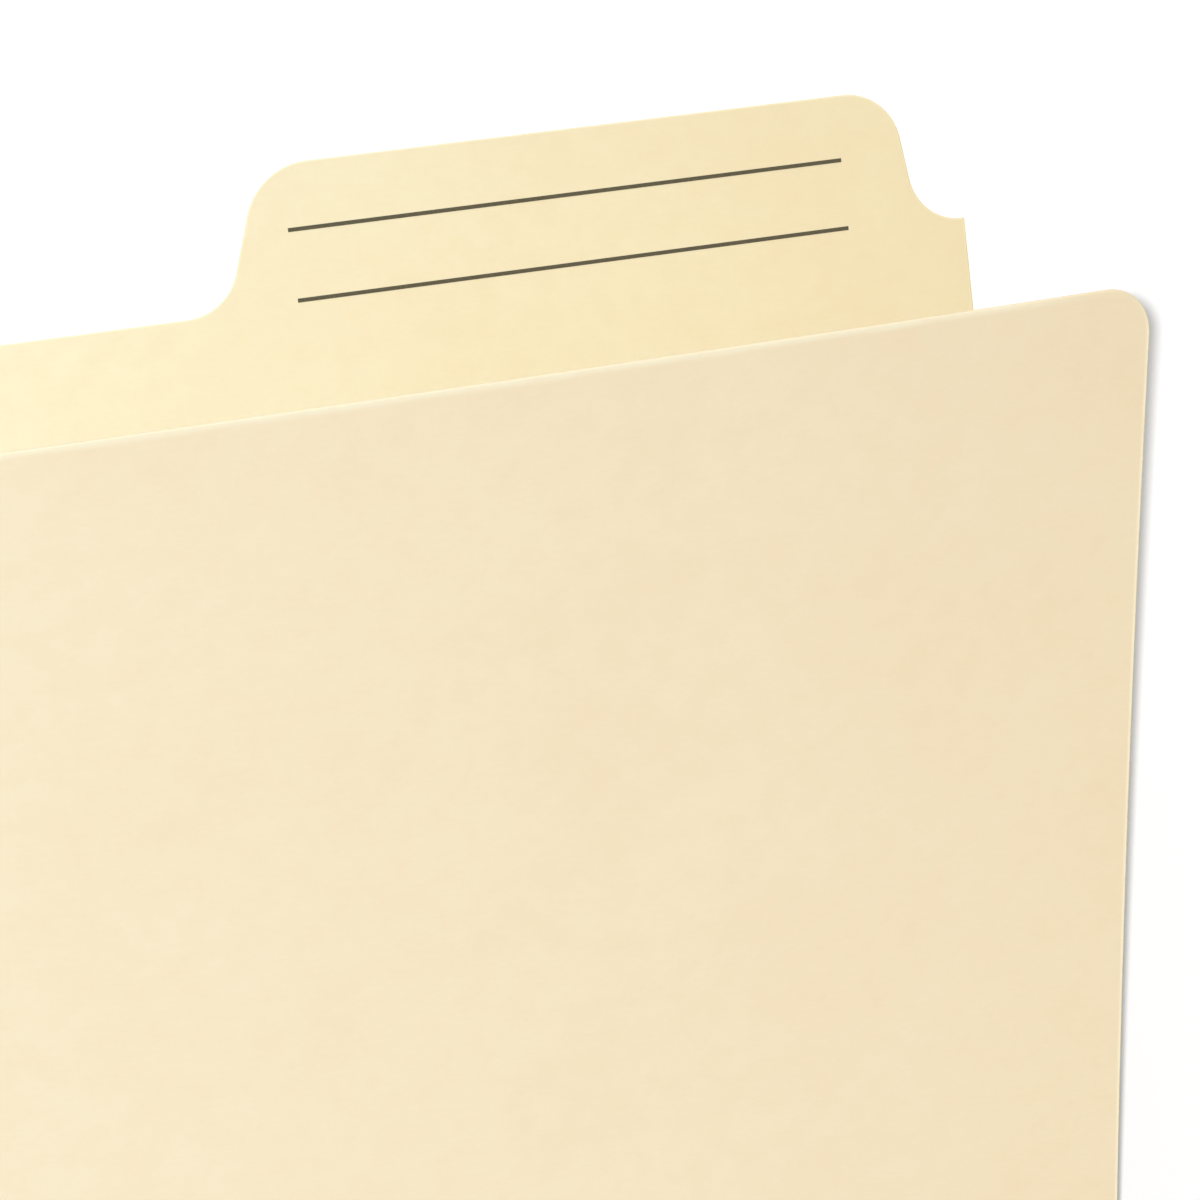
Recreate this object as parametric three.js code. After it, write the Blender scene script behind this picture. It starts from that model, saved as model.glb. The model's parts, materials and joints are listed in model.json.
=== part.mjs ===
// A letter-size manila file folder with a wide ruled tab, lying on its back panel with the front ajar.
// Millimetres: +X along the fold, +Y from the fold to the tab, +Z up from the table.
import * as THREE from "three";

// The sheet of card
const SHEET_WIDTH = 298.45;
const CARD_THICKNESS = 0.36;
const BACK_HEIGHT = 228.6; // from the fold to the shoulder beside the tab
const FRONT_HEIGHT = 228.6; // from the fold to the flap's top edge
const FLAP_CORNER_RADIUS = 6.35;

// The tab at the back panel's top right
const TAB_HEIGHT = 19.05;
const TAB_HALF_WIDTH = 46.9; // at half the tab's height
const LEFT_LEAN = THREE.MathUtils.degToRad(19); // of the tab's left side from upright
const LEFT_TOP_RADIUS = 9.6;
const LEFT_FOOT_RADIUS = 7.9;
const RIGHT_LEAN = THREE.MathUtils.degToRad(7.5); // of the right side, which is steeper
const RIGHT_TOP_RADIUS = 7.8;
const RIGHT_FOOT_RADIUS = 7.3;
const RIGHT_SHOULDER = 0.3; // straight shoulder left between the tab's foot and the sheet's edge

// The two printed rules on the tab
const RULE_LENGTH = 78.2;
const RULE_SPACING = 9.5;
const RULE_WIDTH = 0.55;
const INK_THICKNESS = 0.05;
const LOWER_RULE_HEIGHT = 0.65; // above the shoulder, to the middle of the rule
const RULE_SHIFT = -1.5; // the rules' middle from the tab's middle

// The fold and the scores beside it
const STRIP_WIDTH = 6.35; // from one score to the next
const FOLD_INNER_GAP = 0.3; // between the two inner faces at the fold when the folder is shut
const FOLD_EDGE_GAP = 0.2; // from the fold's axis to each panel's edge
const SCORE_GAP = 0.4; // between neighbours at a score

// The front as it stands open
const STRIP_ANGLE = 0.2197; // of the strips above the back panel, in radians
const FLAP_TOP_ANGLE = 0.3319; // of the flap's top edge, in radians
const FLAP_BOW = 14; // how far the middle of the top edge bulges past its ends

// How finely curves are divided
const ARC_STEPS = 10;
const CORNER_STEPS = 6;
const FLAP_MIDDLE_COLUMNS = 16;
const FLAP_ROWS = 14;

const STRIP_NAMES = ["fold_strip", "middle_strip", "outer_strip"];
const FLAP_START = STRIP_NAMES.length * STRIP_WIDTH;
const HALF_WIDTH = SHEET_WIDTH / 2;
const FOLD_AXIS_Z = CARD_THICKNESS + FOLD_INNER_GAP / 2;

// The middles of a side's foot arc and top arc, out from the tab's middle and up from the shoulder
function tabSide(lean, topRadius, footRadius) {
  const sinLean = Math.sin(lean);
  const cosLean = Math.cos(lean);
  const footX = TAB_HALF_WIDTH + (footRadius - (footRadius - TAB_HEIGHT / 2) * sinLean) / cosLean;
  const topX = TAB_HALF_WIDTH - (topRadius + (TAB_HEIGHT / 2 - topRadius) * sinLean) / cosLean;
  return { lean, footX, footY: footRadius, footRadius, topX, topY: TAB_HEIGHT - topRadius, topRadius };
}

const leftSide = tabSide(LEFT_LEAN, LEFT_TOP_RADIUS, LEFT_FOOT_RADIUS);
const rightSide = tabSide(RIGHT_LEAN, RIGHT_TOP_RADIUS, RIGHT_FOOT_RADIUS);
const tabX = HALF_WIDTH - RIGHT_SHOULDER - rightSide.footX;

// Where the front's outermost edge lies beside the fold, and the middle of the whole folder from there
const outerFaceOffset = FOLD_INNER_GAP / 2 + CARD_THICKNESS;
const nearEdgeY = FOLD_EDGE_GAP * Math.cos(STRIP_ANGLE) - outerFaceOffset * Math.sin(STRIP_ANGLE);
const middleY = (nearEdgeY + BACK_HEIGHT + TAB_HEIGHT) / 2;

function card(color) {
  return new THREE.MeshStandardMaterial({ color, roughness: 0.92, metalness: 0 });
}

function named(name, geometry, material) {
  const mesh = new THREE.Mesh(geometry, material);
  mesh.name = name;
  return mesh;
}

// The back panel's outline: square corners at the fold, and the tab with its hollow feet and round top corners
function backOutline() {
  const quarter = Math.PI / 2;
  const { lean: leftLean, ...left } = leftSide;
  const { lean: rightLean, ...right } = rightSide;
  const outline = new THREE.Shape();
  outline.moveTo(-HALF_WIDTH, FOLD_EDGE_GAP);
  outline.lineTo(HALF_WIDTH, FOLD_EDGE_GAP);
  outline.lineTo(HALF_WIDTH, BACK_HEIGHT);
  outline.absarc(tabX + right.footX, BACK_HEIGHT + right.footY, right.footRadius, -quarter, rightLean - Math.PI, true);
  outline.absarc(tabX + right.topX, BACK_HEIGHT + right.topY, right.topRadius, rightLean, quarter, false);
  outline.absarc(tabX - left.topX, BACK_HEIGHT + left.topY, left.topRadius, quarter, Math.PI - leftLean, false);
  outline.absarc(tabX - left.footX, BACK_HEIGHT + left.footY, left.footRadius, -leftLean, -quarter, true);
  outline.lineTo(-HALF_WIDTH, BACK_HEIGHT);
  outline.closePath();
  return outline;
}

function backPanel() {
  const geometry = new THREE.ExtrudeGeometry(backOutline(), {
    depth: CARD_THICKNESS,
    bevelEnabled: false,
    curveSegments: ARC_STEPS,
  });
  return named("back_panel", geometry, card(0xf8eac6));
}

// One printed rule, a film of ink on the tab's upper face
function rule(name, height) {
  const geometry = new THREE.BoxGeometry(RULE_LENGTH, RULE_WIDTH, INK_THICKNESS);
  const ink = new THREE.MeshStandardMaterial({ color: 0x524d3a, roughness: 0.75, metalness: 0 });
  const mesh = named(name, geometry, ink);
  mesh.position.set(tabX + RULE_SHIFT, BACK_HEIGHT + height, CARD_THICKNESS + INK_THICKNESS / 2);
  return mesh;
}

// One strip between two creases, measured along the front from the fold
function strip(name, index) {
  const start = index * STRIP_WIDTH + (index === 0 ? FOLD_EDGE_GAP : SCORE_GAP / 2);
  const end = (index + 1) * STRIP_WIDTH - SCORE_GAP / 2;
  const geometry = new THREE.BoxGeometry(SHEET_WIDTH, end - start, CARD_THICKNESS);
  const mesh = named(name, geometry, card(0xf2e2bf));
  mesh.position.set(0, (start + end) / 2, (FOLD_INNER_GAP + CARD_THICKNESS) / 2);
  return mesh;
}

// How far up the flap a column reaches, from the outer score: less where it meets a rounded corner
function flapReach(x) {
  const length = FRONT_HEIGHT - FLAP_START;
  const intoCorner = Math.abs(x) - (HALF_WIDTH - FLAP_CORNER_RADIUS);
  if (intoCorner <= 0) return length;
  const rise = Math.sqrt(Math.max(0, FLAP_CORNER_RADIUS ** 2 - intoCorner ** 2));
  return length - FLAP_CORNER_RADIUS + rise;
}

// A point of the flap: along is measured from the outer score, offset outwards from the fold's axis
function flapPoint(x, along, offset) {
  const length = FRONT_HEIGHT - FLAP_START;
  const halfTurn = ((FLAP_TOP_ANGLE - STRIP_ANGLE) * along) / length / 2;
  const chord = halfTurn === 0 ? along : (along * Math.sin(halfTurn)) / halfTurn;
  const chordAngle = STRIP_ANGLE + halfTurn;
  const angle = STRIP_ANGLE + 2 * halfTurn;
  const bow = FLAP_BOW * (1 - (x / HALF_WIDTH) ** 2) * (along / length) ** 2;
  const y = FLAP_START * Math.cos(STRIP_ANGLE) + chord * Math.cos(chordAngle) - offset * Math.sin(angle);
  const z = FLAP_START * Math.sin(STRIP_ANGLE) + chord * Math.sin(chordAngle) + offset * Math.cos(angle);
  return [x, y, z + bow];
}

// The flap's columns: evenly spaced in the middle, and stepped round each corner's arc
function flapColumns() {
  const arcStart = HALF_WIDTH - FLAP_CORNER_RADIUS;
  const right = [];
  for (let i = 1; i <= CORNER_STEPS; i++) {
    right.push(arcStart + FLAP_CORNER_RADIUS * Math.sin((i / CORNER_STEPS) * (Math.PI / 2)));
  }
  const middle = [];
  for (let i = 0; i <= FLAP_MIDDLE_COLUMNS; i++) {
    middle.push(arcStart * ((2 * i) / FLAP_MIDDLE_COLUMNS - 1));
  }
  const left = right.map((x) => -x).reverse();
  return [...left, ...middle, ...right];
}

// A closed sheet between an inner and an outer grid of points, each a list of rows by columns
function closedSheet(inner, outer) {
  const columns = inner[0].length;
  const rows = inner.length;
  const positions = [...inner.flat(), ...outer.flat()].flat();
  const outerStart = rows * columns;
  const indices = [];
  const quad = (a, b, c, d) => indices.push(a, b, c, a, c, d);
  for (let r = 0; r < rows - 1; r++) {
    for (let c = 0; c < columns - 1; c++) {
      const at = r * columns + c;
      quad(at, at + columns, at + columns + 1, at + 1);
      quad(outerStart + at, outerStart + at + 1, outerStart + at + columns + 1, outerStart + at + columns);
    }
  }
  const rim = [];
  for (let c = 0; c < columns; c++) rim.push(c);
  for (let r = 1; r < rows; r++) rim.push(r * columns + columns - 1);
  for (let c = columns - 2; c >= 0; c--) rim.push((rows - 1) * columns + c);
  for (let r = rows - 2; r > 0; r--) rim.push(r * columns);
  rim.forEach((at, i) => {
    const next = rim[(i + 1) % rim.length];
    quad(at, next, outerStart + next, outerStart + at);
  });
  const geometry = new THREE.BufferGeometry();
  geometry.setAttribute("position", new THREE.Float32BufferAttribute(positions, 3));
  geometry.setIndex(indices);
  geometry.computeVertexNormals();
  return geometry;
}

function frontFlap() {
  const columns = flapColumns();
  const low = SCORE_GAP / 2;
  const grid = (offset) => {
    const rows = [];
    for (let r = 0; r <= FLAP_ROWS; r++) {
      rows.push(columns.map((x) => flapPoint(x, low + ((flapReach(x) - low) * r) / FLAP_ROWS, offset)));
    }
    return rows;
  };
  const geometry = closedSheet(grid(FOLD_INNER_GAP / 2), grid(outerFaceOffset));
  const mesh = named("front_flap", geometry, card(0xf2e2bf));
  mesh.position.z = FOLD_AXIS_Z;
  return mesh;
}

const strips = new THREE.Group();
strips.position.z = FOLD_AXIS_Z;
strips.rotation.x = STRIP_ANGLE;
strips.add(...STRIP_NAMES.map(strip));

const sheet = new THREE.Group();
sheet.position.y = -middleY;
sheet.add(
  backPanel(),
  rule("lower_rule", LOWER_RULE_HEIGHT),
  rule("upper_rule", LOWER_RULE_HEIGHT + RULE_SPACING),
  strips,
  frontFlap(),
);

const folder = new THREE.Group();
folder.add(sheet);

export default folder;
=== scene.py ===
"""A letter-size manila file folder with a wide ruled tab, lying ajar on a pale floor.

The card is one sheet: back, three strips between the scores, and front. Each stretch is a piece of its own,
bent to the frame's places, and a short crease joins each to the next.
"""

import json
import math

import bmesh
import bpy
from bpy.props import FloatProperty, FloatVectorProperty, PointerProperty
from mathutils import Euler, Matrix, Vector
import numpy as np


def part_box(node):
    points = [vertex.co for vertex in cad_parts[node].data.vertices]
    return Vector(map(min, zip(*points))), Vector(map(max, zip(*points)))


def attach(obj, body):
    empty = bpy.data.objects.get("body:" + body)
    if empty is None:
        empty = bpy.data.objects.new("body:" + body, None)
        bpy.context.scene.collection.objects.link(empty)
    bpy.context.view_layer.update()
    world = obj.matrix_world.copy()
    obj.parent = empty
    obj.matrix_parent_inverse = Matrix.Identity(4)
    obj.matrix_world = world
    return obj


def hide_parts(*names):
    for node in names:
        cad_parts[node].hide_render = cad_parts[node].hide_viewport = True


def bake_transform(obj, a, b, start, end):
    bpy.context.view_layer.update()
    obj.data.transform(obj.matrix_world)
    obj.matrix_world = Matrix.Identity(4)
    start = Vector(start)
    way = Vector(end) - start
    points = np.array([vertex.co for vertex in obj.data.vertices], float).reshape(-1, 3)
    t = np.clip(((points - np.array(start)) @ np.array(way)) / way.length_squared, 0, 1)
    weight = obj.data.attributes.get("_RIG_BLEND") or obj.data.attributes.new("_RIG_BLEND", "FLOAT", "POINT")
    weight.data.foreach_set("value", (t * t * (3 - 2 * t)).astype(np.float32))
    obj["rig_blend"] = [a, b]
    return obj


bl_info = {
    "name": "Manila File Folder",
    "version": (1, 0, 0),
    "blender": (4, 5, 0),
    "location": "3D View > Sidebar > Folder",
    "description": "Builds a scored manila file folder with a ruled tab",
    "category": "Add Mesh",
}

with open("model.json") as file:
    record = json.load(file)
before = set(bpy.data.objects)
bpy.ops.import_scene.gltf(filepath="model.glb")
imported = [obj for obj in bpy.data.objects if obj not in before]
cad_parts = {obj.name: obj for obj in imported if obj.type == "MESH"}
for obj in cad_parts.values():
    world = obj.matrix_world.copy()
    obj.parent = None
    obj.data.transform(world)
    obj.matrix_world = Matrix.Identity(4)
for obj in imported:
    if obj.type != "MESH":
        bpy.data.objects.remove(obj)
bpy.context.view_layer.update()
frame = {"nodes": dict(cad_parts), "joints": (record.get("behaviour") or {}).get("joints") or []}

MM = 0.001
BACK_LOW, BACK_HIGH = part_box("back_panel")
PIVOTS = {joint["name"]: Vector(joint["pos_m"]) for joint in frame["joints"]}
FOLD = PIVOTS["main_fold"]
FIRST_SCORE = PIVOTS["first_score"]
SECOND_SCORE = PIVOTS["second_score"]
HALF_WIDTH = BACK_HIGH.x
CARD = BACK_HIGH.z - BACK_LOW.z
FOLD_EDGE_GAP = BACK_LOW.y - FOLD.y
STRIP_WIDTH = (SECOND_SCORE - FIRST_SCORE).length
STRIP_LEAN = math.atan2(SECOND_SCORE.z - FIRST_SCORE.z, SECOND_SCORE.y - FIRST_SCORE.y)
# from the fold's axis to the middle of the card on either side of it
FOLD_RADIUS = FOLD.z - CARD / 2

STRIP_NODES = ("fold_strip", "middle_strip", "outer_strip")
FLAP_START = len(STRIP_NODES) * STRIP_WIDTH
CREASES = (
    ("first_crease", "fold_strip", "middle_strip"),
    ("second_crease", "middle_strip", "outer_strip"),
    ("third_crease", "outer_strip", "front"),
)
RULE_NODES = ("lower_rule", "upper_rule")

# Rings inward from a cut edge, how far in its rounding starts, and the rim's share of the thickness
RING_DEPTHS = (0, 0.03 * MM, 0.08 * MM, 0.15 * MM, 0.25 * MM, 0.4 * MM, 0.6 * MM, 0.85 * MM, 1.15 * MM)
EDGE_ROUNDING = 0.16 * MM
RIM_SHARE = 0.3

# How finely the sheet is divided
FRONT_CELL = 4 * MM
FLAT_CELL = 8 * MM
ARC_STEPS = 28
STRIP_ROWS = 2
SCORE_ROWS = 8
FOLD_ROWS = 20

# Points nearer than this are one point, and a point this near a dividing line lies on it
TOUCHING = 1e-3 * MM
ON_THE_LINE = 1e-4 * MM

# How strong the painted highlight along a plain cut edge is, and how far in it reaches
EDGE_PALENESS = 0.45
EDGE_PALE_REACH = 0.4 * MM

# The front's cut sides: how far in the painted highlight reaches, and how far in the lip starts
SIDE_PALE_REACH = 0.55 * MM
LIP_REACH = 0.5 * MM

# The painted highlight band along the front's top edge: its strength near the corners and away from them,
# how far from each side it starts to fade in and is full, and how far in the edge is worn over
BAND_FAINT = 0.12
BAND_FULL = 0.7
BAND_FADE_START = 10 * MM
BAND_FADE_END = 18 * MM
ROLL_REACH = 0.85 * MM

# The card's marks, in features to the metre. A ramp is the noise's low and high, and the tint's strength.
CLOUD_SCALE = 45
CLOUD_RAMP = (0.42, 0.66, 0.6)
CLOUD_TINT = (0.992, 0.968, 0.955)
MOTTLE_SCALE = 260
MOTTLE_RAMP = (0.4, 0.66, 0.7)
MOTTLE_TINT = (0.992, 0.972, 0.955)
FIBRE_SCALE = 800
FIBRE_STRETCH = (1, 2.2, 1)
FIBRE_RAMP = (0.3, 0.7, 0.5)
FIBRE_TINT = (0.975, 0.967, 0.95)
FLECK_SCALE = 36
FLECK_TINT = (0.72, 0.64, 0.5)
GRAIN_SCALE = 1900
# how far left of the sheet's middle the painted side shade is nil; it stands in for the key lamp's light
# falling off across the sheet
UNSHADED_SHIFT = 60 * MM

# The floor, and how far out from its middle it turns white
FLOOR_REACH = 4.0
FLOOR_LEVEL = -0.02 * MM
FLOOR_WHITE_START = 0.22
FLOOR_WHITE_END = 0.7

# The lamps, aimed at one place on the folder
KEY_LAMP_SIZE = 0.09
KEY_LAMP_PLACE = (-0.955, 0.31, 2.45)
FILL_LAMP_SIZE = 1.0
FILL_LAMP_PLACE = (0.1, 1.45, 0.5)
LAMP_AIM = Vector((0.06, 0.02, 0.02))


def srgb(red, green, blue):
    """A colour given in sRGB, 0 to 255, as the linear values that shaders take."""

    def linear(value):
        share = value / 255
        return share / 12.92 if share <= 0.04045 else ((share + 0.055) / 1.055) ** 2.4

    return (linear(red), linear(green), linear(blue))


class FolderSizes(bpy.types.PropertyGroup):
    """Sizes of the tab and the front that the frame doesn't give."""

    tab_height: FloatProperty(
        name="Tab height", description="From the shoulder to the tab's top",
        default=19.05 * MM, unit="LENGTH",
    )
    tab_half_width: FloatProperty(
        name="Tab half width", description="Half the tab's width at half its height",
        default=46.9 * MM, unit="LENGTH",
    )
    left_lean: FloatProperty(
        name="Left lean", description="Lean of the tab's left side",
        default=math.radians(19), unit="ROTATION",
    )
    left_top_radius: FloatProperty(
        name="Left top radius", description="Round of the tab's top left corner",
        default=9.6 * MM, unit="LENGTH",
    )
    left_foot_radius: FloatProperty(
        name="Left foot radius", description="Hollow at the tab's left foot",
        default=7.9 * MM, unit="LENGTH",
    )
    right_lean: FloatProperty(
        name="Right lean", description="Lean of the tab's right side",
        default=math.radians(7.5), unit="ROTATION",
    )
    right_top_radius: FloatProperty(
        name="Right top radius", description="Round of the tab's top right corner",
        default=7.8 * MM, unit="LENGTH",
    )
    right_foot_radius: FloatProperty(
        name="Right foot radius", description="Hollow at the tab's right foot",
        default=7.3 * MM, unit="LENGTH",
    )
    right_shoulder: FloatProperty(
        name="Right shoulder", description="Straight shoulder right of the tab",
        default=0.3 * MM, unit="LENGTH",
    )
    front_height: FloatProperty(
        name="Front height", description="From the fold to the front's top edge",
        default=228.6 * MM, unit="LENGTH",
    )
    front_corner: FloatProperty(
        name="Front corner", description="Radius of the front's top corners",
        default=6.35 * MM, unit="LENGTH",
    )
    front_top_angle: FloatProperty(
        name="Front top angle", description="The front's angle at its top edge",
        default=0.3319, unit="ROTATION",
    )
    front_bow: FloatProperty(
        name="Front bow", description="How far the top edge's middle bulges",
        default=14 * MM, unit="LENGTH",
    )
    score_half_width: FloatProperty(
        name="Score half width", description="Half the width of a pressed score",
        default=0.6 * MM, unit="LENGTH",
    )
    score_depth: FloatProperty(
        name="Score depth", description="How deep a score is pressed in",
        default=0.16 * MM, unit="LENGTH",
    )
    edge_lip: FloatProperty(
        name="Edge lip", description="How far the front's sides stand out where cut",
        default=0.1 * MM, unit="LENGTH",
    )
    edge_roll: FloatProperty(
        name="Edge roll", description="How far the front's top edge is worn over",
        default=0.05 * MM, unit="LENGTH",
    )


class FolderFinish(bpy.types.PropertyGroup):
    """Colours of the card and the ink, with painted light in the card: a yellower inside, a highlight along
    the cut edges and shade towards the sides.
    """

    # The card is the same on both faces; the inner faces are painted yellower, standing in for warm light
    # bouncing between the back and the front
    outside: FloatVectorProperty(
        name="Outside", description="Card on the outer faces",
        subtype="COLOR", default=srgb(253, 241, 210),
    )
    inside: FloatVectorProperty(
        name="Inside", description="Card on the inner faces",
        subtype="COLOR", default=srgb(243, 240, 215),
    )
    # Painted highlight: the paler colour blended in along the cut edges, standing in for light caught by the
    # edges
    cut: FloatVectorProperty(
        name="Cut edge", description="Card where it was cut and pressed",
        subtype="COLOR", default=srgb(254, 248, 219),
    )
    # Painted shade: the outer and inner faces are tinted darker and warmer towards the sides, most at the
    # right, standing in for the key lamp's light falling off across the sheet
    outside_painted_shade: FloatVectorProperty(
        name="Outside tone", description="Tint of the outer faces at the right side",
        subtype="COLOR", default=(0.948, 0.896, 0.846),
    )
    inside_painted_shade: FloatVectorProperty(
        name="Inside tone", description="Tint of the inner faces at the right side",
        subtype="COLOR", default=(0.934, 0.832, 0.7),
    )
    ink: FloatVectorProperty(
        name="Ink", description="The printed rules",
        subtype="COLOR", default=srgb(82, 77, 58),
    )


class FolderStage(bpy.types.PropertyGroup):
    """The camera, the lamps and the floor."""

    camera_place: FloatVectorProperty(
        name="Camera place", description="From the tab's middle at the fold", subtype="TRANSLATION",
        default=(-75.91 * MM, 240.58 * MM, 355.31 * MM),
    )
    camera_turn: FloatVectorProperty(
        name="Camera turn", description="The camera's turn from looking straight down", subtype="EULER",
        default=(math.radians(-7.632), math.radians(-12.414), math.radians(-7.247)),
    )
    camera_lens: FloatProperty(name="Camera lens", description="Focal length in millimetres", default=78.35)
    key_power: FloatProperty(
        name="Key power", description="The small lamp above and to the left",
        default=47.3, unit="POWER",
    )
    fill_power: FloatProperty(
        name="Fill power", description="The broad low lamp beyond the tab",
        default=3.4, unit="POWER",
    )
    sky_level: FloatProperty(
        name="Sky level", description="Light from all round", default=0.39
    )
    floor_colour: FloatVectorProperty(
        name="Floor", description="The floor's own colour",
        subtype="COLOR", default=(0.93, 0.935, 0.945),
    )
    floor_lift: FloatProperty(
        name="Floor lift", description="White that the camera sees added to the floor",
        default=0.07,
    )


def sizes():
    return bpy.context.scene.folder_sizes


def tab_side(lean, top_radius, foot_radius):
    """How far out from the tab's middle a side's foot arc and top arc are centred."""
    s = sizes()
    half = s.tab_height / 2
    foot = s.tab_half_width + (foot_radius - (foot_radius - half) * math.sin(lean)) / math.cos(lean)
    top = s.tab_half_width - (top_radius + (half - top_radius) * math.sin(lean)) / math.cos(lean)
    return foot, top


def tab_middle():
    """Where the tab's middle is across the sheet."""
    s = sizes()
    foot, _ = tab_side(s.right_lean, s.right_top_radius, s.right_foot_radius)
    return HALF_WIDTH - s.right_shoulder - foot


def arc(centre, radius, start, end):
    """Points on a flat arc, both ends included."""
    points = []
    for i in range(ARC_STEPS + 1):
        angle = start + (end - start) * i / ARC_STEPS
        points.append(Vector((centre[0] + radius * math.cos(angle), centre[1] + radius * math.sin(angle))))
    return points


def back_path():
    """The back's cut edge, from the fold up its right side, round the tab and down its left side."""
    s = sizes()
    middle = tab_middle()
    quarter = math.pi / 2
    summit = BACK_HIGH.y
    shoulder = summit - s.tab_height
    lean, top_radius, foot_radius = s.right_lean, s.right_top_radius, s.right_foot_radius
    foot, top = tab_side(lean, top_radius, foot_radius)
    right_foot = arc((middle + foot, shoulder + foot_radius), foot_radius, -quarter, lean - math.pi)
    right_top = arc((middle + top, summit - top_radius), top_radius, lean, quarter)
    lean, top_radius, foot_radius = s.left_lean, s.left_top_radius, s.left_foot_radius
    foot, top = tab_side(lean, top_radius, foot_radius)
    left_top = arc((middle - top, summit - top_radius), top_radius, quarter, math.pi - lean)
    left_foot = arc((middle - foot, shoulder + foot_radius), foot_radius, -lean, -quarter)
    return [
        Vector((HALF_WIDTH, BACK_LOW.y)),
        Vector((HALF_WIDTH, shoulder)),
        *right_foot,
        *right_top,
        *left_top,
        *left_foot,
        Vector((-HALF_WIDTH, shoulder)),
        Vector((-HALF_WIDTH, BACK_LOW.y)),
    ]


def front_path():
    """The front's cut edge, along the sheet from the last score, with two round corners."""
    s = sizes()
    start = FLAP_START + s.score_half_width
    corner = s.front_corner
    top = s.front_height - corner
    quarter = math.pi / 2
    return [
        Vector((HALF_WIDTH, start)),
        *arc((HALF_WIDTH - corner, top), corner, 0, quarter),
        *arc((corner - HALF_WIDTH, top), corner, quarter, 2 * quarter),
        Vector((-HALF_WIDTH, start)),
    ]


def ring_of(path, depth):
    """The path moved inwards, to its left, by a depth. Its two ends stay on the sheet's lower edge."""
    count = len(path)
    ring = []
    for i, point in enumerate(path):
        before = (point - path[i - 1]).normalized() if i else (path[1] - point).normalized()
        after = (path[i + 1] - point).normalized() if i < count - 1 else before
        inward_before = Vector((-before.y, before.x))
        inward_after = Vector((-after.y, after.x))
        inward = inward_before + inward_after
        moved = point + inward * (2 * depth / inward.length_squared)
        moved.x = max(depth - HALF_WIDTH, min(HALF_WIDTH - depth, moved.x))
        ring.append(moved)
    return ring


def planform_of(path):
    """A flat sheet inside an open cut edge, with rings beside it. Each point knows how far in it is."""
    bm = bmesh.new()
    depth_layer = bm.verts.layers.float.new("depth")
    rings = []
    for depth in RING_DEPTHS:
        ring = []
        for point in ring_of(path, depth):
            if ring and (ring[-1].co.xy - point).length < TOUCHING:
                ring.append(ring[-1])
                continue
            vert = bm.verts.new((point.x, point.y, 0))
            vert[depth_layer] = depth
            ring.append(vert)
        rings.append(ring)
    for outer, inner in zip(rings, rings[1:]):
        for i in range(len(path) - 1):
            corners = dict.fromkeys((outer[i], outer[i + 1], inner[i + 1], inner[i]))
            if len(corners) > 2:
                bm.faces.new(list(corners))
    inner = list(dict.fromkeys(rings[-1]))
    edges = [bm.edges.get((a, b)) for a, b in zip(inner, inner[1:])]
    edges.append(bm.edges.new((inner[-1], inner[0])))
    bmesh.ops.triangle_fill(bm, use_beauty=True, edges=edges)
    return bm


def planform_between(low, high, rows):
    """A flat strip from side to side of the sheet, with rings beside its two cut ends."""
    bm = bmesh.new()
    depth_layer = bm.verts.layers.float.new("depth")
    across = [HALF_WIDTH - depth for depth in RING_DEPTHS]
    columns = [-x for x in across] + across[::-1]
    grid = []
    for r in range(rows + 1):
        along = low + (high - low) * r / rows
        row = []
        for x in columns:
            vert = bm.verts.new((x, along, 0))
            vert[depth_layer] = HALF_WIDTH - abs(x)
            row.append(vert)
        grid.append(row)
    for lower, upper in zip(grid, grid[1:]):
        for c in range(len(columns) - 1):
            bm.faces.new((lower[c], lower[c + 1], upper[c + 1], upper[c]))
    return bm


def divide(bm, axis, low, high, cell):
    """Cuts a flat sheet along evenly spaced lines square to an axis."""
    count = max(1, round((high - low) / cell))
    normal = Vector((1, 0, 0)) if axis == 0 else Vector((0, 1, 0))
    for i in range(1, count):
        at = normal * (low + (high - low) * i / count)
        geometry = [*bm.verts, *bm.edges, *bm.faces]
        bmesh.ops.bisect_plane(bm, geom=geometry, dist=ON_THE_LINE, plane_co=at, plane_no=normal)


def divide_across(bm, cell):
    """Cuts a flat sheet from side to side of the folder."""
    divide(bm, 0, -HALF_WIDTH, HALF_WIDTH, cell)


def half_thickness(depth):
    """Half the card's thickness, rounded off at a cut edge."""
    rounded = min(1.0, depth / EDGE_ROUNDING)
    return CARD / 2 * (RIM_SHARE + (1 - RIM_SHARE) * math.sin(rounded * math.pi / 2))


def steepening(depth, reach):
    """0 from the reach inwards, rising faster and faster to 1 at a cut edge."""
    return max(0.0, 1 - depth / reach) ** 2


def fade(depth, reach):
    """1 at a cut edge, falling softly to 0 at the reach."""
    share = max(0.0, 1 - depth / reach)
    return share * share * (3 - 2 * share)


def plain_edge(x, along, depth):
    """How strong the painted highlight is and how far out of line the card is near a plain cut edge, which
    is the same all along.
    """
    return EDGE_PALENESS * fade(depth, EDGE_PALE_REACH), 0


def band_strength(x):
    """How strong the painted highlight band along the front's top edge is: less near its corners."""
    from_side = HALF_WIDTH - abs(x)
    share = (from_side - BAND_FADE_START) / (BAND_FADE_END - BAND_FADE_START)
    return BAND_FAINT + (BAND_FULL - BAND_FAINT) * min(1.0, max(0.0, share))


def band_reach(x):
    """How far in the painted highlight band along the front's top edge reaches, wavering a little along it.
    """
    return (1.05 + 0.1 * math.sin(x * 290) + 0.08 * math.sin(x * 610 + 1)) * MM


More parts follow.
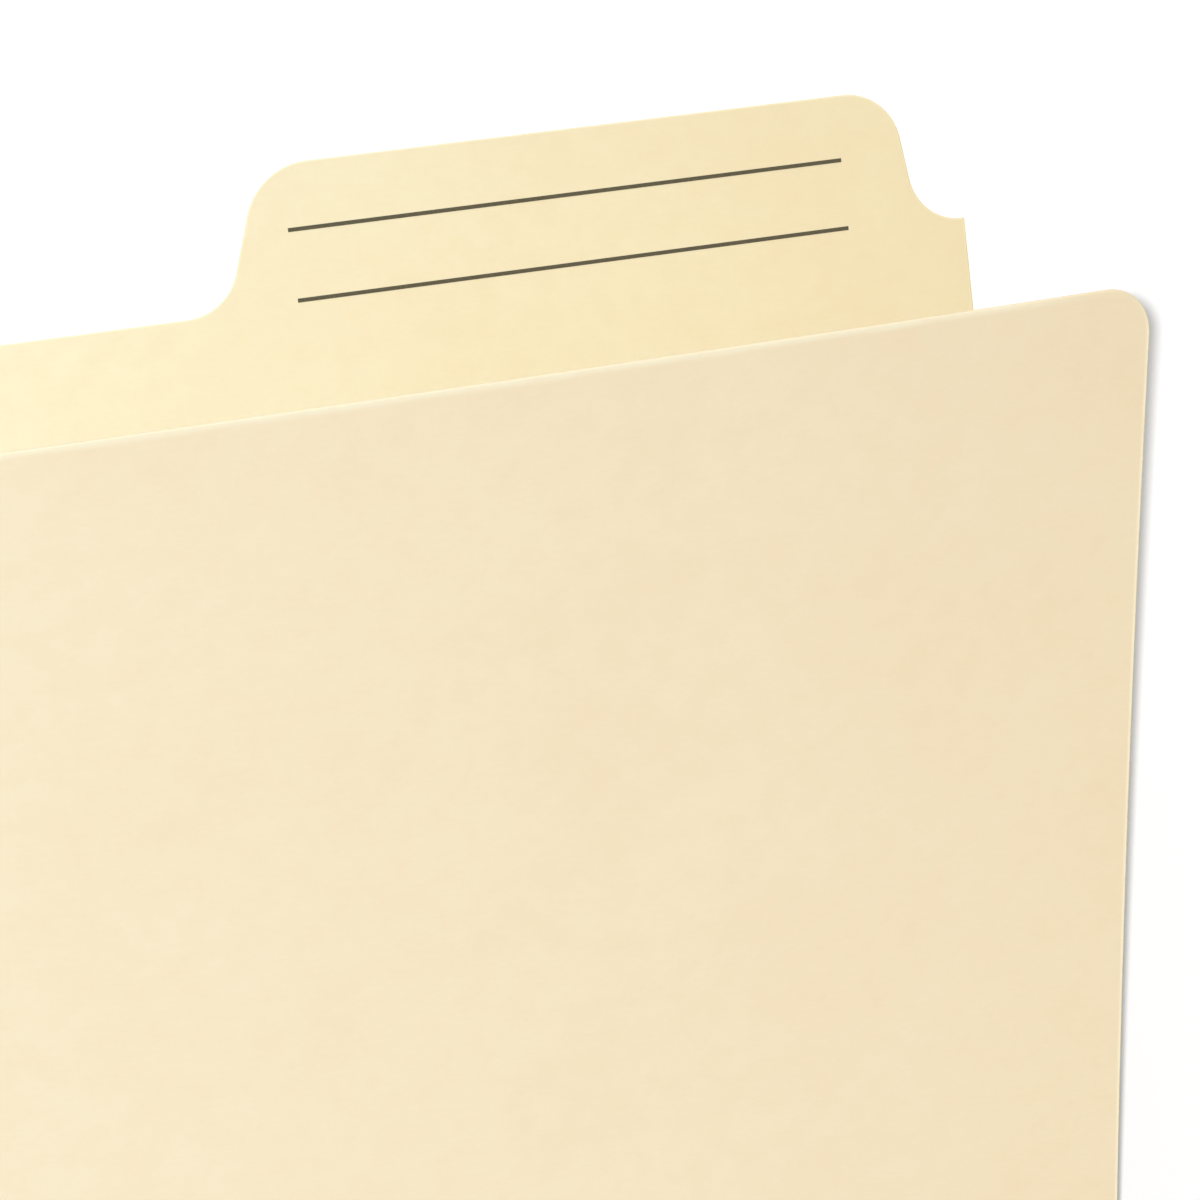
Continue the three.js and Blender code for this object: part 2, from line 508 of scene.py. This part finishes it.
def front_edge_highlight_and_roll(x, along, depth):
    """How strong the painted highlight is and how far out of line the front is: a painted highlight band
    along the top, which is worn over, with a lip at the sides.
    """
    s = sizes()
    top = s.front_height - s.front_corner
    crown = min(1.0, max(0.0, (along - top) / s.front_corner))
    # the very rim gets less painted highlight than the band, which has a broad even middle
    highlight_share = min(1.0, 0.15 + depth / (0.2 * MM)) * min(1.0, 1.7 * fade(depth, band_reach(x)))
    pale = crown * band_strength(x) * highlight_share + (1 - crown) * fade(depth, SIDE_PALE_REACH)
    lip = (1 - crown) * s.edge_lip * steepening(depth, LIP_REACH)
    roll = crown * s.edge_roll * steepening(depth, ROLL_REACH)
    return pale, lip - roll


def sheet_points(bm, place, edge_at):
    """The points of the card's outer and then its inner face, and how strong the painted edge highlight is
    at each.
    """
    depth_layer = bm.verts.layers.float["depth"]
    points = []
    paleness = []
    for side in (1, -1):
        for vert in bm.verts:
            depth = vert[depth_layer]
            pale, rise = edge_at(vert.co.x, vert.co.y, depth)
            points.append(place(vert.co.x, vert.co.y, side * half_thickness(depth) + rise))
            paleness.append(pale)
    return points, paleness


def sheet_faces(bm):
    """The faces of both sides and the rim, each as its points, its material and whether it is smooth."""
    depth_layer = bm.verts.layers.float["depth"]
    outer, inner = 0, 1
    count = len(bm.verts)
    faces = []
    for face in bm.faces:
        upward = [v.index for v in face.verts]
        if face.normal.z < 0:
            upward.reverse()
        faces.append((upward, outer, True))
        faces.append(([count + i for i in reversed(upward)], inner, True))
    for edge in bm.edges:
        if len(edge.link_loops) != 1:
            continue
        a, b = edge.verts[0].index, edge.verts[1].index
        loop = edge.link_loops[0]
        forward = (loop.vert.index == a) == (loop.face.normal.z > 0)
        if not forward:
            a, b = b, a
        # only a cut edge is rounded; where two stretches meet, their faces run straight on
        rounded = all(vert[depth_layer] < TOUCHING for vert in edge.verts)
        faces.append(([b, a, count + a, count + b], outer, rounded))
    return faces


def mark_joins(mesh):
    """Keeps the shading of the faces from turning round the rim where two stretches meet."""
    joins = {key for polygon in mesh.polygons if not polygon.use_smooth for key in polygon.edge_keys}
    mesh.edges.foreach_set("use_edge_sharp", [edge.key in joins for edge in mesh.edges])


def thicken(name, bm, place, edge_at=plain_edge):
    """Makes a stretch of card from a flat sheet.

    place turns sheet coordinates and a height over the card's middle into a point in the frame.
    edge_at gives how strong the painted edge highlight is and how far out of line the card is, at sheet
    coordinates and a depth from the cut edge.
    """
    bm.verts.ensure_lookup_table()
    bm.verts.index_update()
    points, paleness = sheet_points(bm, place, edge_at)
    faces, slots, smooth = (list(column) for column in zip(*sheet_faces(bm)))
    bm.free()
    mesh = bpy.data.meshes.new(name)
    mesh.from_pydata(points, [], faces)
    # this attribute carries the painted highlight along the cut edges
    mesh.attributes.new("edge_highlight", "FLOAT", "POINT").data.foreach_set("value", paleness)
    mesh.polygons.foreach_set("material_index", slots)
    mesh.polygons.foreach_set("use_smooth", smooth)
    mesh.update()
    mark_joins(mesh)
    obj = bpy.data.objects.new(name, mesh)
    bpy.context.scene.collection.objects.link(obj)
    shades = colours()
    # the inner faces' yellower colour is painted bounce light between the panels
    mesh.materials.append(card_material("card_outside", shades.outside, shades.outside_painted_shade))
    mesh.materials.append(card_material("card_inside", shades.inside, shades.inside_painted_shade))
    return obj


def place_back(x, y, height):
    """The back lies flat, with its outer face down."""
    return (x, y, CARD / 2 - height)


def place_front(x, along, height):
    """A point on the front or its strips: along is measured from the fold's axis."""
    s = sizes()
    offset = FOLD_RADIUS + height
    past = max(0.0, along - FLAP_START)
    flat = along - past
    length = s.front_height - FLAP_START
    half_turn = (s.front_top_angle - STRIP_LEAN) * past / length / 2
    chord = past if half_turn < 1e-9 else past * math.sin(half_turn) / half_turn
    chord_angle = STRIP_LEAN + half_turn
    angle = STRIP_LEAN + 2 * half_turn
    bow = s.front_bow * (1 - (x / HALF_WIDTH) ** 2) * (past / length) ** 2
    y = flat * math.cos(STRIP_LEAN) + chord * math.cos(chord_angle) - offset * math.sin(angle)
    z = flat * math.sin(STRIP_LEAN) + chord * math.sin(chord_angle) + offset * math.cos(angle)
    return (x, FOLD.y + y, FOLD.z + z + bow)


def place_score(middle):
    """Places a score's card, pressed in along the middle of the stretch."""

    def place(x, along, height):
        s = sizes()
        share = (along - middle) / s.score_half_width
        pressed = s.score_depth * math.cos(share * math.pi / 2) ** 2
        return place_front(x, along, height - pressed)

    return place


def fold_lengths():
    """The fold's turn from the back's underside to the strip, and the length of its round stretch."""
    turn = math.pi - STRIP_LEAN
    return turn, turn * FOLD_RADIUS


def place_fold(x, along, height):
    """The fold: flat from the back's edge, round the fold's axis, and flat again to the first strip."""
    turn, round_length = fold_lengths()
    radius = FOLD_RADIUS + height
    if along < FOLD_EDGE_GAP:
        return (x, FOLD.y + FOLD_EDGE_GAP - along, FOLD.z - radius)
    past = along - FOLD_EDGE_GAP - round_length
    angle = -math.pi / 2 - turn * min(1.0, (along - FOLD_EDGE_GAP) / round_length)
    y = radius * math.cos(angle)
    z = radius * math.sin(angle)
    if past > 0:
        y += past * math.cos(STRIP_LEAN)
        z += past * math.sin(STRIP_LEAN)
    return (x, FOLD.y + y, FOLD.z + z)


def colours():
    return bpy.context.scene.folder_finish


def socket_link(tree, source, output, target, socket):
    tree.links.new(source.outputs[output], target.inputs[socket])


def noise_node(tree, coords, scale, detail, stretch=None):
    """Noise over the sheet, stretched along X, Y and Z if asked."""
    noise = tree.nodes.new("ShaderNodeTexNoise")
    noise.inputs["Scale"].default_value = scale
    noise.inputs["Detail"].default_value = detail
    if stretch is None:
        socket_link(tree, coords, "Object", noise, "Vector")
    else:
        mapping = tree.nodes.new("ShaderNodeMapping")
        mapping.inputs["Scale"].default_value = stretch
        socket_link(tree, coords, "Object", mapping, "Vector")
        socket_link(tree, mapping, "Vector", noise, "Vector")
    return noise


def ramp_node(tree, source, output, low, high, dark, light):
    """Maps a factor from low to high onto a grey from dark to light."""
    ramp = tree.nodes.new("ShaderNodeMapRange")
    ramp.inputs["From Min"].default_value = low
    ramp.inputs["From Max"].default_value = high
    ramp.inputs["To Min"].default_value = dark
    ramp.inputs["To Max"].default_value = light
    socket_link(tree, source, output, ramp, "Value")
    return ramp


def math_node(tree, operation, first, second=None):
    """A sum of one or two values, each a number or a node with the name of its output."""
    node = tree.nodes.new("ShaderNodeMath")
    node.operation = operation
    for slot, value in enumerate((first, second)):
        if isinstance(value, tuple):
            socket_link(tree, *value, node, slot)
        elif value is not None:
            node.inputs[slot].default_value = value
    return node


def tint_node(tree, colour, factor_node, factor_socket, tint, blend="MULTIPLY"):
    """Blends a tint into a colour by a factor."""
    mix = tree.nodes.new("ShaderNodeMix")
    mix.data_type = "RGBA"
    mix.blend_type = blend
    tree.links.new(colour, mix.inputs["A"])
    mix.inputs["B"].default_value = (*tint, 1)
    tree.links.new(factor_node.outputs[factor_socket], mix.inputs["Factor"])
    return mix.outputs["Result"]


def colour_of(tree, colour):
    """A plain colour, as an output to start a tone from."""
    node = tree.nodes.new("ShaderNodeRGB")
    node.outputs[0].default_value = (*colour, 1)
    return node.outputs[0]


def tinted(tree, tone, noise, ramp, tint):
    """Tints a tone where a noise is strong."""
    low, high, strength = ramp
    amount = ramp_node(tree, noise, "Fac", low, high, 0, strength)
    return tint_node(tree, tone, amount, "Result", tint)


def with_painted_side_shade(tree, coords, tone, shade_tint):
    """Paints shade into a tone, more and more towards both sides from where it is nil, standing in for the
    key lamp's light falling off across the sheet.
    """
    across = tree.nodes.new("ShaderNodeSeparateXYZ")
    socket_link(tree, coords, "Object", across, "Vector")
    shifted = math_node(tree, "ADD", (across, "X"), UNSHADED_SHIFT)
    off_unshaded = math_node(tree, "ABSOLUTE", (shifted, "Value"))
    painted_shade_amount = ramp_node(tree, off_unshaded, "Value", 0, HALF_WIDTH + UNSHADED_SHIFT, 0, 1)
    return tint_node(tree, tone, painted_shade_amount, "Result", shade_tint)


def flecked(tree, coords, tone):
    """Scatters a few small dark flecks over a tone."""
    cells = tree.nodes.new("ShaderNodeTexVoronoi")
    cells.inputs["Scale"].default_value = FLECK_SCALE
    socket_link(tree, coords, "Object", cells, "Vector")
    fleck = ramp_node(tree, cells, "Distance", 0.004, 0.012, 0.5, 0)
    return tint_node(tree, tone, fleck, "Result", FLECK_TINT)


def with_painted_edge_highlight(tree, tone, mottle):
    """Blends the painted edge highlight colour into a tone by the mesh's edge highlight mask, a little
    unevenly.
    """
    edge_highlight = tree.nodes.new("ShaderNodeAttribute")
    edge_highlight.attribute_name = "edge_highlight"
    highlight_share = ramp_node(tree, mottle, "Fac", 0.38, 0.6, 0.65, 1)
    pale = math_node(tree, "MULTIPLY", (edge_highlight, "Fac"), (highlight_share, "Result"))
    return tint_node(tree, tone, pale, "Value", colours().cut, "MIX")


def add_bump(tree, shader, source, output, strength, distance):
    """Bumps a shader's surface by a node's output."""
    bump = tree.nodes.new("ShaderNodeBump")
    bump.inputs["Strength"].default_value = strength
    bump.inputs["Distance"].default_value = distance
    socket_link(tree, source, output, bump, "Height")
    socket_link(tree, bump, "Normal", shader, "Normal")


def new_material(name):
    """A new material with its nodes, its shader and the object's coordinates."""
    made = bpy.data.materials.new(name)
    made.use_nodes = True
    tree = made.node_tree
    return made, tree, tree.nodes["Principled BSDF"], tree.nodes.new("ShaderNodeTexCoord")


def card_material(name, colour, shade_tint):
    """Uncoated manila card: cloudy tone, painted shade towards the sides, fine fibres, a few flecks, and a
    painted highlight along the cut edges.
    """
    made = bpy.data.materials.get(name)
    if made:
        return made
    made, tree, shader, coords = new_material(name)
    clouds = noise_node(tree, coords, CLOUD_SCALE, 3)
    mottle = noise_node(tree, coords, MOTTLE_SCALE, 4)
    fibres = noise_node(tree, coords, FIBRE_SCALE, 5, FIBRE_STRETCH)
    grain = noise_node(tree, coords, GRAIN_SCALE, 3)

    tone = tinted(tree, colour_of(tree, colour), clouds, CLOUD_RAMP, CLOUD_TINT)
    # painted shade, darker and warmer towards the sides
    tone = with_painted_side_shade(tree, coords, tone, shade_tint)
    tone = tinted(tree, tone, mottle, MOTTLE_RAMP, MOTTLE_TINT)
    tone = tinted(tree, tone, fibres, FIBRE_RAMP, FIBRE_TINT)
    tone = flecked(tree, coords, tone)
    # painted highlight along the cut edges
    tone = with_painted_edge_highlight(tree, tone, mottle)
    tree.links.new(tone, shader.inputs["Base Color"])

    relief = math_node(tree, "ADD", (grain, "Fac"), (fibres, "Fac"))
    add_bump(tree, shader, relief, "Value", 0.35, 0.04 * MM)
    rough = ramp_node(tree, grain, "Fac", 0.3, 0.7, 0.8, 0.92)
    socket_link(tree, rough, "Result", shader, "Roughness")
    shader.inputs["Specular IOR Level"].default_value = 0.25
    return made


def ink_material():
    """Printed ink: nearly even, a little thinner where the card's fibres stand up."""
    made, tree, shader, coords = new_material("rule_ink")
    thin = noise_node(tree, coords, 2600, 4)
    spots = ramp_node(tree, thin, "Fac", 0.5, 0.75, 0, 0.35)
    tone = tint_node(tree, colour_of(tree, colours().ink), spots, "Result", srgb(120, 112, 86), "MIX")
    tree.links.new(tone, shader.inputs["Base Color"])
    add_bump(tree, shader, thin, "Fac", 0.25, 0.02 * MM)
    shader.inputs["Roughness"].default_value = 0.62
    shader.inputs["Specular IOR Level"].default_value = 0.3
    return made


class FOLDER_OT_back(bpy.types.Operator):
    """Make the back panel with its tab"""

    bl_idname = "folder.back"
    bl_label = "Back"

    def execute(self, context):
        bm = planform_of(back_path())
        divide_across(bm, FLAT_CELL)
        divide(bm, 1, BACK_LOW.y, BACK_HIGH.y, FLAT_CELL)
        sheet = thicken("back_sheet", bm, place_back)
        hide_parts("back_panel")
        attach(sheet, "back")
        return {"FINISHED"}


class FOLDER_OT_strips(bpy.types.Operator):
    """Make the strips between the scores"""

    bl_idname = "folder.strips"
    bl_label = "Strips"

    def execute(self, context):
        score = sizes().score_half_width
        for i, node in enumerate(STRIP_NODES):
            low = FOLD_EDGE_GAP if i == 0 else i * STRIP_WIDTH + score
            high = (i + 1) * STRIP_WIDTH - score
            bm = planform_between(low, high, STRIP_ROWS)
            divide_across(bm, FLAT_CELL)
            sheet = thicken(node + "_sheet", bm, place_front)
            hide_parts(node)
            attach(sheet, node)
        return {"FINISHED"}


class FOLDER_OT_front(bpy.types.Operator):
    """Make the front, curling and bowed as it stands ajar"""

    bl_idname = "folder.front"
    bl_label = "Front"

    def execute(self, context):
        s = sizes()
        bm = planform_of(front_path())
        divide_across(bm, FRONT_CELL)
        divide(bm, 1, FLAP_START + s.score_half_width, s.front_height, FRONT_CELL)
        sheet = thicken("front_sheet", bm, place_front, front_edge_highlight_and_roll)
        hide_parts("front_flap")
        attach(sheet, "front")
        return {"FINISHED"}


class FOLDER_OT_creases(bpy.types.Operator):
    """Make the main fold and the three pressed scores"""

    bl_idname = "folder.creases"
    bl_label = "Creases"

    def execute(self, context):
        s = sizes()
        for i, (name, lower, upper) in enumerate(CREASES):
            middle = (i + 1) * STRIP_WIDTH
            low = middle - s.score_half_width
            high = middle + s.score_half_width
            bm = planform_between(low, high, SCORE_ROWS)
            divide_across(bm, FLAT_CELL)
            crease = thicken(name, bm, place_score(middle))
            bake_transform(crease, lower, upper, start=place_front(0, low, 0), end=place_front(0, high, 0))
        _, round_length = fold_lengths()
        bm = planform_between(0, round_length + 2 * FOLD_EDGE_GAP, FOLD_ROWS)
        divide_across(bm, FLAT_CELL)
        fold = thicken("main_fold", bm, place_fold)
        inner = Vector((0, 0, FOLD_RADIUS - CARD / 2))
        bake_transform(fold, "back", "fold_strip", start=FOLD - inner, end=FOLD + inner)
        return {"FINISHED"}


class FOLDER_OT_rules(bpy.types.Operator):
    """Ink the two printed rules on the tab"""

    bl_idname = "folder.rules"
    bl_label = "Rules"

    def execute(self, context):
        ink = ink_material()
        for node in RULE_NODES:
            rule = frame["nodes"][node]
            rule.data.materials.clear()
            rule.data.materials.append(ink)
        return {"FINISHED"}


class FOLDER_OT_stage(bpy.types.Operator):
    """Set the floor, the lamps and the camera"""

    bl_idname = "folder.stage"
    bl_label = "Stage"

    def execute(self, context):
        stage = context.scene.folder_stage
        make_floor(stage)
        make_lamps(stage)
        make_world(stage)
        make_camera(stage)
        return {"FINISHED"}


def seen_directly(tree):
    """A node whose value is 1 for what the camera sees, straight on, mirrored or through glass."""
    rays = tree.nodes.new("ShaderNodeLightPath")
    mirrored = math_node(tree, "MAXIMUM", (rays, "Is Camera Ray"), (rays, "Is Glossy Ray"))
    return math_node(tree, "MAXIMUM", (mirrored, "Value"), (rays, "Is Transmission Ray"))


def floor_material(stage):
    """Pale and matt, and lifted for the camera: a little near the folder, and to plain white far away."""
    made, tree, shader, coords = new_material("floor_white")
    shader.inputs["Base Color"].default_value = (*stage.floor_colour, 1)
    shader.inputs["Roughness"].default_value = 0.9
    shader.inputs["Specular IOR Level"].default_value = 0.0
    shader.inputs["Emission Color"].default_value = (1, 1, 1, 1)
    distance = tree.nodes.new("ShaderNodeVectorMath")
    distance.operation = "LENGTH"
    socket_link(tree, coords, "Object", distance, 0)
    far = ramp_node(tree, distance, "Value", FLOOR_WHITE_START, FLOOR_WHITE_END, stage.floor_lift, 1)
    lift = math_node(tree, "MULTIPLY", (seen_directly(tree), "Value"), (far, "Result"))
    socket_link(tree, lift, "Value", shader, "Emission Strength")
    return made


def make_floor(stage):
    """A wide pale floor just under the folder, which the camera sees as white."""
    mesh = bpy.data.meshes.new("floor")
    signs = ((-1, -1), (1, -1), (1, 1), (-1, 1))
    corners = [(FLOOR_REACH * x, FLOOR_REACH * y, FLOOR_LEVEL) for x, y in signs]
    mesh.from_pydata(corners, [], [(0, 1, 2, 3)])
    mesh.materials.append(floor_material(stage))
    floor = bpy.data.objects.new("floor", mesh)
    bpy.context.scene.collection.objects.link(floor)


def make_lamp(name, size, power, place):
    """A round lamp turned towards the folder."""
    light = bpy.data.lights.new(name, "AREA")
    light.shape = "DISK"
    light.size = size
    light.energy = power
    lamp = bpy.data.objects.new(name, light)
    lamp.location = place
    lamp.rotation_euler = (LAMP_AIM - lamp.location).to_track_quat("-Z", "Y").to_euler()
    bpy.context.scene.collection.objects.link(lamp)


def make_lamps(stage):
    """A key lamp above and to the left, and a broad fill lamp that looks in at the open top."""
    make_lamp("key_lamp", KEY_LAMP_SIZE, stage.key_power, KEY_LAMP_PLACE)
    make_lamp("fill_lamp", FILL_LAMP_SIZE, stage.fill_power, FILL_LAMP_PLACE)


def make_world(stage):
    """Even light from all round; the camera sees plain white."""
    world = bpy.data.worlds.new("studio")
    bpy.context.scene.world = world
    world.use_nodes = True
    tree = world.node_tree
    background = tree.nodes["Background"]
    background.inputs["Color"].default_value = (1, 1, 1, 1)
    level = ramp_node(tree, seen_directly(tree), "Value", 0, 1, stage.sky_level, 1)
    socket_link(tree, level, "Result", background, "Strength")


def make_camera(stage):
    """The photograph's view: nearly square to the back, turned a little on its axis."""
    data = bpy.data.cameras.new("camera")
    data.lens = stage.camera_lens
    data.sensor_width = 36
    camera = bpy.data.objects.new("camera", data)
    camera.location = Vector((tab_middle(), FOLD.y, CARD)) + Vector(stage.camera_place)
    camera.rotation_euler = Euler(stage.camera_turn, "XYZ")
    bpy.context.scene.collection.objects.link(camera)
    bpy.context.scene.camera = camera
    bpy.context.scene.view_settings.view_transform = "Standard"


class FOLDER_PT_parts(bpy.types.Panel):
    """Lists the folder's parts"""

    bl_idname = "FOLDER_PT_parts"
    bl_label = "File Folder"
    bl_space_type = "VIEW_3D"
    bl_region_type = "UI"
    bl_category = "Folder"

    def draw(self, context):
        for group in (context.scene.folder_sizes, context.scene.folder_finish, context.scene.folder_stage):
            column = self.layout.column(align=True)
            for name in group.bl_rna.properties.keys():
                if name not in ("rna_type", "name"):
                    column.prop(group, name)
        for operator in OPERATORS:
            self.layout.operator(operator.bl_idname)


GROUPS = (FolderSizes, FolderFinish, FolderStage)
OPERATORS = (
    FOLDER_OT_back,
    FOLDER_OT_strips,
    FOLDER_OT_front,
    FOLDER_OT_creases,
    FOLDER_OT_rules,
    FOLDER_OT_stage,
)


def register():
    for made in (*GROUPS, *OPERATORS, FOLDER_PT_parts):
        bpy.utils.register_class(made)
    bpy.types.Scene.folder_sizes = PointerProperty(type=FolderSizes)
    bpy.types.Scene.folder_finish = PointerProperty(type=FolderFinish)
    bpy.types.Scene.folder_stage = PointerProperty(type=FolderStage)


def unregister():
    del bpy.types.Scene.folder_stage
    del bpy.types.Scene.folder_finish
    del bpy.types.Scene.folder_sizes
    for made in reversed((*GROUPS, *OPERATORS, FOLDER_PT_parts)):
        bpy.utils.unregister_class(made)


def main():
    register()
    bpy.ops.folder.back()
    bpy.ops.folder.strips()
    bpy.ops.folder.front()
    bpy.ops.folder.creases()
    bpy.ops.folder.rules()
    bpy.ops.folder.stage()


if __name__ == "__main__":
    main()
